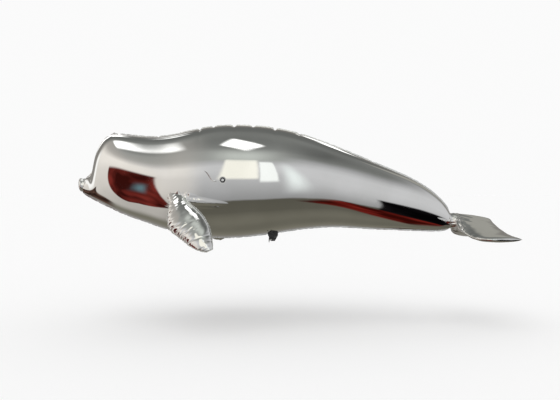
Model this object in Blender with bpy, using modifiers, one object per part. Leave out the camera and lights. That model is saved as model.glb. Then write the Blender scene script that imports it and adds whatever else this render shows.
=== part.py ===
"""Whale-shaped remote control blimp: a mirror film envelope with flippers and flukes,
and a small drive pod with two tilting propellers under its belly.

Metres, +Z up, +X towards the tail. The origin is the centre of lift on the centre plane.
The blimp's left side is -Y.
"""

from math import cos, pi, radians, sin, sqrt

import bmesh
import bpy
from mathutils import Matrix, Vector

# Driving dimensions
SKIN = 0.010            # wall of the inflated body
GAP = 0.0003            # between pieces that touch
FLANGE_OUT = 0.012      # weld flange beyond the skin
FLANGE_THICK = 0.003
RING_POINTS = 28        # around each body section
STEPS = 2               # sections for each row of the table
HALF_SPACE = (5.0, 1.2, 2.0)    # larger than one half of the body

# Body sections from nose to tail. Each is an ellipse that stands on the line from a point
# of the back to a point of the belly, both on the centre plane.
# back_x, back_z, belly_x, belly_z, half_width
BODY_ROWS = (
    (-1.555, 0.055, -1.585, -0.080, 0.045),
    (-1.500, 0.095, -1.520, -0.118, 0.095),
    (-1.475, 0.155, -1.440, -0.160, 0.155),
    (-1.457, 0.245, -1.345, -0.208, 0.215),
    (-1.430, 0.328, -1.220, -0.268, 0.273),
    (-1.380, 0.408, -1.085, -0.320, 0.322),
    (-1.300, 0.468, -0.940, -0.370, 0.360),
    (-1.160, 0.468, -0.805, -0.418, 0.393),
    (-0.980, 0.450, -0.660, -0.460, 0.427),
    (-0.770, 0.458, -0.500, -0.492, 0.460),
    (-0.540, 0.507, -0.325, -0.507, 0.490),
    (-0.305, 0.550, -0.155, -0.507, 0.504),
    (-0.075, 0.557, 0.020, -0.494, 0.504),
    (0.155, 0.543, 0.210, -0.470, 0.490),
    (0.405, 0.500, 0.425, -0.438, 0.460),
    (0.655, 0.423, 0.645, -0.413, 0.418),
    (0.905, 0.328, 0.885, -0.405, 0.365),
    (1.150, 0.227, 1.130, -0.420, 0.307),
    (1.400, 0.123, 1.380, -0.430, 0.245),
    (1.610, 0.025, 1.585, -0.439, 0.187),
    (1.780, -0.090, 1.750, -0.443, 0.135),
    (1.885, -0.195, 1.855, -0.441, 0.098),
    (1.935, -0.275, 1.925, -0.430, 0.072),
)

# Snout lump ahead of the first body section: centre_x, centre_z, half_height, half_width
NOSE_ROWS = (
    (-1.585, -0.012, 0.060, 0.042),
    (-1.600, -0.010, 0.046, 0.040),
    (-1.612, -0.006, 0.044, 0.042),
    (-1.622, -0.004, 0.034, 0.034),
    (-1.628, -0.003, 0.014, 0.014),
)

# Neck behind the last body section: centre_x, centre_z, half_height, half_width
NECK_ROWS = (
    (1.945, -0.351, 0.079, 0.074),
    (1.956, -0.347, 0.071, 0.075),
    (1.966, -0.346, 0.073, 0.085),
    (1.975, -0.345, 0.068, 0.095),
)

# Flipper stations from root to tip: along, lead, trail, half_thickness.
# along runs down the flipper from the flank, lead and trail are its two edges across.
FLIPPER_ROWS = (
    (-0.100, -0.064, 0.036, 0.014),
    (-0.040, -0.084, 0.050, 0.024),
    (0.010, -0.106, 0.056, 0.036),
    (0.058, -0.134, 0.058, 0.049),
    (0.110, -0.164, 0.066, 0.058),
    (0.170, -0.192, 0.086, 0.063),
    (0.230, -0.209, 0.102, 0.066),
    (0.285, -0.203, 0.109, 0.066),
    (0.345, -0.182, 0.110, 0.063),
    (0.410, -0.159, 0.103, 0.057),
    (0.480, -0.133, 0.085, 0.048),
    (0.540, -0.098, 0.063, 0.036),
    (0.585, -0.062, 0.045, 0.024),
    (0.612, -0.024, 0.030, 0.011),
)
FLIPPER_HOLLOW_TO = 11      # stations from the root that are hollow
FLIPPER_WALL = 0.010
FLIPPER_POINTS = 20         # around each station
FLIPPER_ROOT = Vector((-0.602, 0.455, -0.129))      # of the right flipper, on the flank
FLIPPER_ALONG = Vector((0.491, 0.470, -0.733)).normalized()

# Fluke stations from the centre plane out: side, lead_x, trail_x, half_thickness, blunt.
# blunt is the share of the front edge that stays square, where the neck meets it.
FLUKE_ROWS = (
    (0.000, 1.9756, 2.330, 0.068, 1.00),
    (0.045, 1.9756, 2.336, 0.068, 0.98),
    (0.085, 1.9756, 2.344, 0.065, 0.85),
    (0.130, 1.9800, 2.354, 0.058, 0.50),
    (0.200, 1.9980, 2.372, 0.052, 0.20),
    (0.300, 2.0300, 2.402, 0.046, 0.00),
    (0.400, 2.0720, 2.437, 0.038, 0.00),
    (0.450, 2.1150, 2.456, 0.031, 0.00),
    (0.485, 2.1800, 2.466, 0.022, 0.00),
    (0.500, 2.2700, 2.462, 0.010, 0.00),
)
FLUKE_Z = -0.345
FLUKE_DROOP = 0.155         # drop of a lobe's tip below its root
FLUKE_POINTS = 24           # around each station

# Filling valve on the left flank, its face VALVE_Y out from the centre plane
VALVE_X = -0.203
VALVE_Y = 0.508
VALVE_Z = 0.033
VALVE_R = 0.032
VALVE_BACK = 0.040          # from the face into the flank, before the skin cuts it
VALVE_PLUG_R = 0.012
VALVE_PLUG_LONG = 0.010
VALVE_PLUG_EDGE = 0.002

# Drive pod. The saddle is cut to the belly and straddles the belly's flange.
POD_X = 0.240
SADDLE_LENGTH = 0.096
SADDLE_WIDTH = 0.046
SADDLE_TOP = -0.430
SADDLE_LOW = -0.489
SADDLE_WEB = 0.003          # left under the slot
SADDLE_SLOT_HIGH = 0.060
PLATE_THICK = 0.002
THIN_EDGE = 0.0006          # rounding of the small plastic pieces
HULL_HEIGHT = 0.055
HULL_TOP = (0.096, 0.050)   # length, width
HULL_LOW = (0.036, 0.040)
HULL_WALL = 0.0025
HULL_EDGE = 0.003
SWITCH_SIZE = (0.006, 0.003, 0.010)
SWITCH_BACK = 0.018         # behind the pod's middle
SWITCH_DOWN = 0.016         # below the pod's plate
SHAFT_R = 0.002
SHAFT_HALF = 0.070
SHAFT_UP = 0.016            # above the hull's underside
RUN_CLEAR = 0.0001
BUSH_R = 0.0045
BUSH_LONG = 0.004
MOTOR_Y = 0.062
MOTOR_R = 0.007
MOTOR_LONG = 0.026
MOTOR_BOSS_R = 0.0025
MOTOR_BOSS_LONG = 0.001
MOTOR_EDGE = 0.0008
CLAMP_SIDE = 0.012
CLAMP_EDGE = 0.0015
PROP_HUB_R = 0.004
PROP_HUB_LONG = 0.008
PROP_BLADES = 2
# blade stations: radius, chord, twist in degrees
BLADE_ROWS = (
    (0.002, 0.007, 42.0),
    (0.010, 0.011, 34.0),
    (0.020, 0.012, 22.0),
    (0.027, 0.009, 16.0),
    (0.030, 0.004, 14.0),
)
BLADE_THICK = 0.0011
BLADE_SECTION = ((-1, 0), (-0.4, 1), (0.4, 1), (1, 0), (0.4, -1), (-0.4, -1))
BATTERY = (0.060, 0.030, 0.013)
BATTERY_EDGE = 0.002


def clear_scene():
    for thing in list(bpy.data.objects):
        bpy.data.objects.remove(thing, do_unlink=True)


def collection(name):
    made = bpy.data.collections.new(name)
    bpy.context.scene.collection.children.link(made)
    return made


def material(name, colour, roughness, metallic):
    made = bpy.data.materials.new(name)
    made.use_nodes = True
    made.diffuse_color = (*colour, 1.0)
    shader = made.node_tree.nodes["Principled BSDF"]
    shader.inputs["Base Color"].default_value = (*colour, 1.0)
    shader.inputs["Roughness"].default_value = roughness
    shader.inputs["Metallic"].default_value = metallic
    return made


def add(name, mesh, finish, where=None):
    """A part, or a cutter where finish is None."""
    thing = bpy.data.objects.new(name, mesh)
    if finish is None:
        CUTTERS.objects.link(thing)
        thing.hide_render = True
        thing.display_type = "WIRE"
    else:
        PARTS.objects.link(thing)
        mesh.materials.append(finish)
    if where is not None:
        thing.location = where
    return thing


def smooth(mesh, degrees=35.0):
    mesh.shade_smooth()
    mesh.set_sharp_from_angle(angle=radians(degrees))


def mesh_from(name, form):
    mesh = bpy.data.meshes.new(name)
    bmesh.ops.recalc_face_normals(form, faces=form.faces)
    form.to_mesh(mesh)
    form.free()
    smooth(mesh)
    return mesh


def loft(name, rings, capped=True):
    """A mesh through rings of equally many points."""
    form = bmesh.new()
    rows = [[form.verts.new(point) for point in ring] for ring in rings]
    count = len(rings[0])
    for low, high in zip(rows, rows[1:]):
        for k in range(count):
            after = (k + 1) % count
            form.faces.new((low[k], low[after], high[after], high[k]))
    if capped:
        form.faces.new(rows[0])
        form.faces.new(rows[-1])
    return mesh_from(name, form)


def cylinder(name, radius, depth, axis="Z", sides=24):
    form = bmesh.new()
    bmesh.ops.create_cone(
        form, cap_ends=True, segments=sides, radius1=radius, radius2=radius, depth=depth
    )
    turn = {
        "X": Matrix.Rotation(pi / 2, 3, "Y"),
        "Y": Matrix.Rotation(pi / 2, 3, "X"),
        "Z": Matrix.Identity(3),
    }[axis]
    bmesh.ops.transform(form, matrix=turn.to_4x4(), verts=form.verts)
    return mesh_from(name, form)


def block(name, size):
    form = bmesh.new()
    bmesh.ops.create_cube(form, size=1.0)
    bmesh.ops.scale(form, vec=size, verts=form.verts)
    return mesh_from(name, form)


def boolean(thing, cutter, operation="DIFFERENCE"):
    cut = thing.modifiers.new(cutter.name, "BOOLEAN")
    cut.operation = operation
    cut.object = cutter
    cut.solver = "EXACT"


def bevel(thing, width, segments=2):
    edge = thing.modifiers.new("Edges", "BEVEL")
    edge.width = width
    edge.segments = segments
    edge.limit_method = "ANGLE"


def spline_rows(rows, steps):
    """Rows between the table's rows, on a smooth curve through them all."""
    made = []
    last = len(rows) - 1
    for k in range(last):
        before, here, there, after = (
            rows[max(k - 1, 0)], rows[k], rows[k + 1], rows[min(k + 2, last)],
        )
        for step in range(steps):
            t = step / steps
            made.append(tuple(
                0.5 * (2 * b + (c - a) * t + (2 * a - 5 * b + 4 * c - d) * t * t
                       + (3 * b - a - 3 * c + d) * t ** 3)
                for a, b, c, d in zip(before, here, there, after)
            ))
    made.append(rows[last])
    return made


def body_ring(row, grow=0.0):
    back_x, back_z, belly_x, belly_z, half_width = row
    back = Vector((back_x, 0.0, back_z))
    belly = Vector((belly_x, 0.0, belly_z))
    middle = (back + belly) / 2
    up = (back - belly) / 2
    up += up.normalized() * grow
    ring = []
    for k in range(RING_POINTS):
        angle = 2 * pi * k / RING_POINTS
        ring.append(middle + up * cos(angle) + Vector((0, (half_width + grow) * sin(angle), 0)))
    return ring


def upright_ring(x, z, half_height, half_width, points=RING_POINTS):
    return [
        Vector((x, half_width * sin(2 * pi * k / points), z + half_height * cos(2 * pi * k / points)))
        for k in range(points)
    ]


def make_envelope(film):
    rows = spline_rows(BODY_ROWS, STEPS)
    rings = [body_ring(row) for row in rows]
    slab = 2 * (FLANGE_THICK / 2 + GAP)
    for side, name in ((-1, "left"), (1, "right")):
        skin = add(f"envelope_{name}", loft(f"envelope_{name}", rings, capped=False), film)
        wall = skin.modifiers.new("Wall", "SOLIDIFY")
        wall.thickness = SKIN
        wall.offset = -1.0
        wall.use_even_offset = True
        size = (HALF_SPACE[0], HALF_SPACE[1] + slab, HALF_SPACE[2])
        other = add(f"half_space_{name}", block("half_space", size), None)
        other.location = (0.0, -side * HALF_SPACE[1] / 2, 0.0)
        boolean(skin, other)
    grown = [body_ring(row, GAP) for row in rows]
    return add("envelope_form", loft("envelope_form", grown), None)


def outline_strip(points, out, into):
    """A flat strip on the centre plane that follows a line of points, left side out."""
    form = bmesh.new()
    rows = []
    for k, point in enumerate(points):
        before = points[max(k - 1, 0)]
        after = points[min(k + 1, len(points) - 1)]
        along = (after - before).normalized()
        outward = Vector((-along.z, 0.0, along.x))
        rows.append((form.verts.new(point + outward * out), form.verts.new(point - outward * into)))
    for low, high in zip(rows, rows[1:]):
        form.faces.new((low[0], low[1], high[1], high[0]))
    mesh = bpy.data.meshes.new("strip")
    form.to_mesh(mesh)
    form.free()
    return mesh


def make_seams(flange):
    rows = spline_rows(BODY_ROWS, STEPS)[1:-1]
    back = [Vector((row[0], 0.0, row[1])) for row in rows]
    belly = [Vector((row[2], 0.0, row[3])) for row in reversed(rows)]
    for name, points in (("seam_back", back), ("seam_belly", belly)):
        seam = add(name, outline_strip(points, FLANGE_OUT, SKIN), flange)
        thick = seam.modifiers.new("Thickness", "SOLIDIFY")
        thick.thickness = FLANGE_THICK
        thick.offset = 0.0


def make_nose(film):
    first = body_ring(BODY_ROWS[0])
    forward = Vector((-1.0, 0.0, 0.1)).normalized() * (2 * GAP)
    rings = [[point + forward for point in first]]
    rings += [upright_ring(*row) for row in NOSE_ROWS]
    add("nose_gather", loft("nose_gather", rings), film)


def make_neck(film):
    last = body_ring(BODY_ROWS[-1])
    rings = [[point + Vector((2 * GAP, 0, 0)) for point in last]]
    rings += [upright_ring(*row) for row in NECK_ROWS]
    add("tail_gather", loft("tail_gather", rings), film)


def lens(points, lead, trail, half_thick, blunt=0.0):
    """A pillow section: (across, thickness) pairs, from one edge round to itself."""
    pairs = []
    for k in range(points):
        angle = 2 * pi * k / points
        share = (1 - cos(angle)) / 2
        square = sqrt(max(1 - share, 0.0)) * (1 if sin(angle) >= 0 else -1)
        thick = (1 - blunt) * sin(angle) + blunt * square
        pairs.append((lead + (trail - lead) * share, half_thick * thick))
    return pairs


def make_flipper(name, side, film, envelope_form):
    along = Vector((FLIPPER_ALONG.x, side * FLIPPER_ALONG.y, FLIPPER_ALONG.z))
    across = (Vector((1, 0, 0)) - along * along.x).normalized()
    normal = along.cross(across)
    root = Vector((FLIPPER_ROOT.x, side * FLIPPER_ROOT.y, FLIPPER_ROOT.z))

    def ring(row, less=0.0):
        reach, lead, trail, half_thick = row
        return [
            root + along * (reach - less * (reach > 0)) + across * a + normal * b
            for a, b in lens(FLIPPER_POINTS, lead + less, trail - less, half_thick - less)
        ]

    inner = [ring(row, FLIPPER_WALL) for row in reversed(FLIPPER_ROWS[:FLIPPER_HOLLOW_TO])]
    outer = [ring(row) for row in FLIPPER_ROWS]
    flipper = add(name, loft(name, inner + outer), film)
    boolean(flipper, envelope_form)


def make_flukes(film):
    span = FLUKE_ROWS[-1][0]
    rings = []
    for side, lead, trail, half_thick, blunt in FLUKE_ROWS:
        rings.append([
            Vector((x, side, FLUKE_Z - FLUKE_DROOP * sin(pi / 2 * side / span) + z))
            for x, z in lens(FLUKE_POINTS, lead, trail, half_thick, blunt)
        ])
    half = loft("tail_flukes", rings, capped=False)
    form = bmesh.new()
    form.from_mesh(half)
    form.verts.ensure_lookup_table()
    tip = [form.verts[len(form.verts) - FLUKE_POINTS + k] for k in range(FLUKE_POINTS)]
    form.faces.new(tip)
    bmesh.ops.recalc_face_normals(form, faces=form.faces)
    form.to_mesh(half)
    form.free()
    flukes = add("tail_flukes", half, film)
    both = flukes.modifiers.new("Both lobes", "MIRROR")
    both.use_axis = (False, True, False)
    both.merge_threshold = 0.0001


def make_valve(film, plastic, envelope_form):
    patch = add("valve_patch", cylinder("valve_patch", VALVE_R, VALVE_BACK, "Y", 32), film)
    patch.location = (VALVE_X, VALVE_BACK / 2 - VALVE_Y, VALVE_Z)
    boolean(patch, envelope_form)
    plug = add("valve_plug", cylinder("valve_plug", VALVE_PLUG_R, VALVE_PLUG_LONG, "Y"), plastic)
    plug.location = (VALVE_X, -VALVE_Y - GAP - VALVE_PLUG_LONG / 2, VALVE_Z)
    bevel(plug, VALVE_PLUG_EDGE)


def tapered(name, top, low, height, edge=0.0):
    """A block that narrows downward: top and low are (length, width). edge rounds all but its top."""
    corners = ((-1, -1), (1, -1), (1, 1), (-1, 1))
    rings = [
        [Vector((a * size[0] / 2, b * size[1] / 2, z)) for a, b in corners]
        for size, z in ((low, 0.0), (top, height))
    ]
    mesh = loft(name, rings)
    if edge:
        form = bmesh.new()
        form.from_mesh(mesh)
        lower = [line for line in form.edges if min(v.co.z for v in line.verts) < height / 2]
        bmesh.ops.bevel(form, geom=lower, offset=edge, segments=3, profile=0.5, affect="EDGES")
        form.to_mesh(mesh)
        form.free()
    return mesh


def make_saddle(foam, envelope_form):
    high = SADDLE_TOP - SADDLE_LOW
    saddle = add("pod_saddle", block("pod_saddle", (SADDLE_LENGTH, SADDLE_WIDTH, high)), foam)
    saddle.location = (POD_X, 0.0, SADDLE_LOW + high / 2)
    boolean(saddle, envelope_form)
    size = (2 * SADDLE_LENGTH, FLANGE_THICK + 2 * GAP, SADDLE_SLOT_HIGH)
    slot = add("saddle_slot", block("saddle_slot", size), None)
    slot.location = (POD_X, 0.0, SADDLE_LOW + SADDLE_WEB + SADDLE_SLOT_HIGH / 2)
    boolean(saddle, slot)


def make_pod(black, grey):
    """The case with what it holds. Returns the middle of the tilt shaft."""
    plate_low = SADDLE_LOW - GAP - PLATE_THICK
    plate = add("pod_plate", block("pod_plate", (*HULL_TOP, PLATE_THICK)), black)
    plate.location = (POD_X, 0.0, plate_low + PLATE_THICK / 2)
    bevel(plate, THIN_EDGE)

    hull_at = Vector((POD_X, 0.0, plate_low - GAP - HULL_HEIGHT))
    case = tapered("pod_hull", HULL_TOP, HULL_LOW, HULL_HEIGHT, HULL_EDGE)
    hull = add("pod_hull", case, black, hull_at)
    room_top, room_low = (
        tuple(side - 2 * HULL_WALL for side in size) for size in (HULL_TOP, HULL_LOW)
    )
    room_at = hull_at + Vector((0, 0, HULL_WALL))
    room = tapered("hull_room", room_top, room_low, HULL_HEIGHT)
    boolean(hull, add("hull_room", room, None, room_at))

    shaft_at = hull_at + Vector((0, 0, SHAFT_UP))
    through = cylinder("shaft_bore", SHAFT_R + RUN_CLEAR, 2 * HULL_TOP[0], "Y")
    bore = add("shaft_bore", through, None, shaft_at)
    boolean(hull, bore)

    battery_at = (POD_X, 0.0, plate_low - GAP - BATTERY[2] / 2)
    battery = add("battery", block("battery", BATTERY), grey, battery_at)
    bevel(battery, BATTERY_EDGE)

    def half_width(up):
        return (HULL_LOW[1] + (HULL_TOP[1] - HULL_LOW[1]) * up / HULL_HEIGHT) / 2

    for side, name in ((-1, "left"), (1, "right")):
        out = half_width(SHAFT_UP + BUSH_R) + GAP + BUSH_LONG / 2
        bush_at = shaft_at + Vector((0, side * out, 0))
        ring = cylinder(f"bushing_{name}", BUSH_R, BUSH_LONG, "Y")
        boolean(add(f"bushing_{name}", ring, grey, bush_at), bore)

    switch_high = HULL_HEIGHT - SWITCH_DOWN + SWITCH_SIZE[2] / 2
    switch_out = half_width(switch_high) + GAP + SWITCH_SIZE[1] / 2
    switch_at = (POD_X + SWITCH_BACK, -switch_out, plate_low - SWITCH_DOWN)
    switch = add("pod_switch", block("pod_switch", SWITCH_SIZE), grey, switch_at)
    bevel(switch, THIN_EDGE)
    return shaft_at


def make_drive(black, steel, shaft_at):
    """The tilting shaft with a motor and a propeller at each end, on an empty at the tilt axis."""
    axis = bpy.data.objects.new("tilt_axis", None)
    PARTS.objects.link(axis)
    axis.location = shaft_at

    def carried(name, mesh, finish, where=Vector()):
        thing = add(name, mesh, finish, where)
        thing.parent = axis
        return thing

    carried("tilt_shaft", cylinder("tilt_shaft", SHAFT_R, 2 * SHAFT_HALF, "Y"), steel)
    bore = carried("clamp_bore", cylinder("clamp_bore", SHAFT_R + GAP, 4 * SHAFT_HALF, "Y"), None)
    for side, name in ((-1, "left"), (1, "right")):
        centre = Vector((0, side * MOTOR_Y, 0))
        clamp = carried(f"clamp_{name}", block(f"clamp_{name}", (CLAMP_SIDE,) * 3), black, centre)
        bevel(clamp, CLAMP_EDGE)
        boolean(clamp, bore)
        motor_at = centre - Vector((CLAMP_SIDE / 2 + GAP + MOTOR_LONG / 2, 0, 0))
        can = cylinder(f"motor_{name}", MOTOR_R, MOTOR_LONG, "X")
        motor = carried(f"motor_{name}", can, steel, motor_at)
        bevel(motor, MOTOR_EDGE)
        front = motor_at - Vector((MOTOR_LONG / 2, 0, 0))
        boss = cylinder(f"boss_{name}", MOTOR_BOSS_R, 2 * MOTOR_BOSS_LONG, "X")
        boolean(motor, carried(f"boss_{name}", boss, None, front), "UNION")
        hub_at = front - Vector((MOTOR_BOSS_LONG + GAP + PROP_HUB_LONG / 2, 0, 0))
        hub = cylinder(f"propeller_{name}", PROP_HUB_R, PROP_HUB_LONG, "X")
        propeller = carried(f"propeller_{name}", hub, black, hub_at)
        bevel(propeller, THIN_EDGE)
        for k in range(PROP_BLADES):
            turn = Matrix.Rotation(2 * pi * k / PROP_BLADES, 3, "X")
            blade = loft(f"{name}_blade_{k}", blade_rings(side, turn))
            boolean(propeller, carried(f"{name}_blade_{k}", blade, None, hub_at), "UNION")


def blade_rings(side, turn):
    """Sections of one blade that stands up from the hub, turned to its place."""
    rings = []
    for radius, chord, twist in BLADE_ROWS:
        lean = radians(90.0 - twist) * side
        ring = []
        for a, b in BLADE_SECTION:
            edge = a * chord / 2
            thick = b * BLADE_THICK / 2
            ring.append(turn @ Vector((
                edge * cos(lean) - thick * sin(lean),
                edge * sin(lean) + thick * cos(lean),
                radius,
            )))
        rings.append(ring)
    return rings


def build():
    film = material("mirror_film", (0.80, 0.80, 0.79), 0.06, 1.0)
    flange = material("film_flange", (0.78, 0.78, 0.77), 0.22, 1.0)
    black = material("black_plastic", (0.02, 0.02, 0.022), 0.4, 0.0)
    foam = material("black_foam", (0.03, 0.03, 0.03), 0.9, 0.0)
    grey = material("grey_plastic", (0.25, 0.25, 0.26), 0.5, 0.0)
    steel = material("bright_steel", (0.6, 0.6, 0.6), 0.3, 1.0)
    clear = material("clear_plastic", (0.75, 0.75, 0.73), 0.25, 0.0)

    envelope_form = make_envelope(film)
    make_seams(flange)
    make_nose(film)
    make_neck(film)
    make_flipper("flipper_left", -1, film, envelope_form)
    make_flipper("flipper_right", 1, film, envelope_form)
    make_flukes(film)
    make_valve(flange, clear, envelope_form)
    make_saddle(foam, envelope_form)
    shaft_at = make_pod(black, grey)
    make_drive(black, steel, shaft_at)


clear_scene()
PARTS = collection("whale_blimp")
CUTTERS = collection("cutters")
build()
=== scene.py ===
"""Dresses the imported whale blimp: puckered mirror film skins, pillow flippers and flukes,
welded flanges, the filling valve and the finishes of the drive pod.

Metres, +Z up, +X towards the tail. The blimp's left side, which the camera sees, is -Y.
"""

from math import atan, cos, pi, radians, sin

import bmesh
import bpy
import numpy as np
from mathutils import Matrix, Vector, noise


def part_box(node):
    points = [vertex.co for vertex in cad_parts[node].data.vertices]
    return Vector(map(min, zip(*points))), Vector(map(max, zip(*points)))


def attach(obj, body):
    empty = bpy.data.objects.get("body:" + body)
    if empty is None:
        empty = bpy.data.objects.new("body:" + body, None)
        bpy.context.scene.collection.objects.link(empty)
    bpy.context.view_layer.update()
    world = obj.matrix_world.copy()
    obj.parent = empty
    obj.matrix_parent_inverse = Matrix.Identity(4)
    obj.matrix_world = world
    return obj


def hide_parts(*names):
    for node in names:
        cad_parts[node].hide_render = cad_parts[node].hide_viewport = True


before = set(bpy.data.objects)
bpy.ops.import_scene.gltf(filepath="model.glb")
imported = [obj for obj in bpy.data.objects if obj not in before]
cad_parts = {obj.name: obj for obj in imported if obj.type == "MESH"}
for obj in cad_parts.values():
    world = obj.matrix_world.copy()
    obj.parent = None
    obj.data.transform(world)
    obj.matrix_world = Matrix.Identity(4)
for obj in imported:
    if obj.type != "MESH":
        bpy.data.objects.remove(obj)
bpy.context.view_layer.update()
FINE = 1.0       # share of the full mesh resolution
FINISHES = {}       # materials by the name of their slot
SIDES = ((-1, "left"), (1, "right"))
QUAD = ((-1, -1), (1, -1), (1, 1), (-1, 1))     # corners of a square in order

# The photograph's frame: PIXEL metres at the centre plane, whose origin is at ORIGIN_PX
PIXEL = 0.0096
ORIGIN_PX = (248.0, 184.0)
HORIZON_PX = 188.0
IMAGE = (560, 400)
CAMERA_AWAY = 7.0
SENSOR = 36.0
FLOOR_Z = -1.35
CAMERA_AT = ((IMAGE[0] / 2 - ORIGIN_PX[0]) * PIXEL, -CAMERA_AWAY, (ORIGIN_PX[1] - HORIZON_PX) * PIXEL)

# Light. The floor and the backdrop come out alike.
SKY = 0.86
SUN = 0.55
SUN_UP = radians(60)
SUN_TURN = radians(-25)
SUN_SPREAD = radians(50)
FLOOR_HALF = 120.0
FLOOR_SHADE = 0.95
BACKDROP = FLOOR_SHADE * (SKY + SUN * sin(SUN_UP) / pi)
# The room that the film reflects, from straight down to straight up: tints, each with its rows of
# the direction's height from -1 to 1 and the brightness
BOARDS = (1.05, 1.0, 0.79)
WALL = (0.995, 1.0, 1.01)
WARM = (1.05, 1.0, 0.93)
CEILING = (0.97, 1.0, 0.95)
ROOM_NEAR = (
    (BOARDS, (-1.0, 0.17), (-0.9, 0.115), (-0.65, 0.105)),
    (WALL, (-0.6, 0.34), (-0.3, 0.45), (-0.05, 0.53), (0.15, 0.58), (0.35, 0.67),
     (0.48, 0.66), (0.58, 0.52)),
    (CEILING, (0.68, 0.39), (0.85, 0.35), (0.93, 0.24), (1.0, 0.19)),
)
ROOM_NOSE = (
    (WARM, (-1.0, 0.38), (-0.8, 0.5), (-0.4, 0.7), (0.1, 0.78), (0.3, 0.9),
     (0.45, 0.92), (0.55, 0.7), (0.65, 0.5), (0.75, 0.43), (1.0, 0.4)),
)
ROOM_TAIL = (
    (BOARDS, (-1.0, 0.17), (-0.9, 0.115), (-0.64, 0.105)),
    (WALL, (-0.59, 0.36), (-0.3, 0.52), (-0.05, 0.61), (0.2, 0.655), (0.5, 0.65),
     (0.62, 0.56), (0.72, 0.4)),
    (CEILING, (0.8, 0.21), (0.88, 0.13), (1.0, 0.11)),
)
ROOM_FAR = (
    (BOARDS, (-1.0, 0.19), (-0.85, 0.155), (-0.66, 0.19)),
    (WARM, (-0.3, 0.26), (0.2, 0.26), (0.45, 0.2)),
    (CEILING, (0.6, 0.15), (1.0, 0.18)),
)
# Where the near wall gives way to the others: from and to, in the direction's x, x and y
NOSE_TURN, TAIL_TURN, FAR_TURN = (-0.22, -0.55), (0.2, 0.5), (0.15, 0.6)
# What only reflections show: name, centre, vectors along its sides, colour, soft share of each side
WHITE = (2.1, 2.1, 2.06)
RED, DEEP_RED = (0.115, 0.016, 0.012), (0.11, 0.009, 0.006)
BLUE_GREY = (0.13, 0.22, 0.25)
PANELS = (
    ("lamp_middle", (-0.07, -0.8, 2.0), (0.72, -0.66, 0), (0.38, 0.7, 0), WHITE, 0.2),
    ("lamp_glow", (-0.05, -2.0, 2.0), (2.2, 0, 0), (0, 2.0, 0), (0.6, 0.63, 0.59), 0.45),
    ("lamp_head", (-1.65, -0.18, 2.0), (0.84, 0, 0), (0, 1.36, 0), WHITE, 0.31),
    ("lamp_back_nose", (-2.4, 3.5, 3.2), (1.3, 0, 0), (0, 0, 1.7), WHITE, 0.3),
    ("lamp_back_tail", (2.0, 3.5, 2.6), (0.9, 0, 0), (0, 0, 0.9), WHITE, 0.3),
    ("lamp_far", (1.4, 4.0, 2.0), (1.15, 0, 0), (0, 2.9, 0), WHITE, 0.35),
    ("strip_far", (-5.0, 9.0, 4.0), (4.8, 0, 0), (0, 0, 5.0), WHITE, 0.2),
    ("softbox_middle", (-0.12, -5.0, 2.275), (1.98, 0, 0), (0, 0, 4.45), (1.1, 1.08, 0.97), 0.12),
    ("softbox_right", (1.14, -5.0, 1.75), (0.74, 0, 0), (0, 0, 4.5), (1.1, 1.13, 1.1), 0.14),
    ("softbox_tail", (2.12, -5.0, 0.6), (1.15, 0, 0), (0, 0, 8.0), (0.94, 1.0, 0.98), 0.48),
    ("flag_head", (-3.316, -2.016, -1.85), (-1.28, 1.765, 0), (0.655, -0.904, 5.27), RED, 0.07),
    ("softbox_fluke", (3.05, 1.5, 1.55), (1.75, 0, 0), (0, 0, 2.6), (0.37, 0.365, 0.33), 0.25),
    ("patch_head", (-2.985, -2.42, -1.27), (-0.27, 0.37, 0), (0.56, -0.77, 1.83), BLUE_GREY, 0.48),
    ("softbox_nose", (-6.0, 1.6, 0.6), (0, 1.7, 0), (0, 0, 5.0), (1.12, 1.11, 1.08), 0.3),
    ("flag_tail", (3.1, -1.65, -2.61), (1.21, 1.556, 0), (0, 0, 4.0), (0.004, 0.0035, 0.004), 0.06),
    ("flag_fluke", (1.95, 1.6, -1.3), (1.0, 0, 0), (0, 1.7, 0), (0.05, 0.035, 0.026), 0.3),
    ("flag_low", (1.655, -0.835, -1.3), (0.71, -0.284, 0), (1.0, 1.667, 0), DEEP_RED, 0.16),
    ("flag_jaw", (-3.9, 0.95, -1.3), (3.6, 0, 0), (0, 1.3, 0), (0.07, 0.038, 0.028), 0.12),
)
# Patches of a flag: their scale, and the range of the noise and of the strength
PATCH_SCALE = 2.2
PATCH_RANGE = (0.4, 0.62, 0.35, 1.7)

# Body sections from nose to tail, each on the line from a point of the back to one of the belly
# back_x, back_z, belly_x, belly_z, half_width
BODY_ROWS = (
    (-1.555, 0.055, -1.585, -0.080, 0.045),
    (-1.500, 0.095, -1.520, -0.118, 0.095),
    (-1.475, 0.155, -1.440, -0.160, 0.155),
    (-1.457, 0.245, -1.345, -0.208, 0.215),
    (-1.430, 0.328, -1.220, -0.268, 0.273),
    (-1.380, 0.408, -1.085, -0.320, 0.322),
    (-1.300, 0.468, -0.940, -0.370, 0.360),
    (-1.160, 0.468, -0.805, -0.418, 0.393),
    (-0.980, 0.450, -0.660, -0.460, 0.427),
    (-0.770, 0.458, -0.500, -0.492, 0.460),
    (-0.540, 0.507, -0.325, -0.507, 0.490),
    (-0.305, 0.550, -0.155, -0.507, 0.504),
    (-0.075, 0.557, 0.020, -0.494, 0.504),
    (0.155, 0.543, 0.210, -0.470, 0.490),
    (0.405, 0.500, 0.425, -0.438, 0.460),
    (0.655, 0.423, 0.645, -0.413, 0.418),
    (0.905, 0.328, 0.885, -0.405, 0.365),
    (1.150, 0.227, 1.130, -0.420, 0.307),
    (1.400, 0.123, 1.380, -0.430, 0.245),
    (1.610, 0.025, 1.585, -0.439, 0.187),
    (1.780, -0.090, 1.750, -0.443, 0.135),
    (1.885, -0.195, 1.855, -0.441, 0.098),
    (1.935, -0.275, 1.925, -0.430, 0.072),
)
STATIONS = 800
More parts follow.
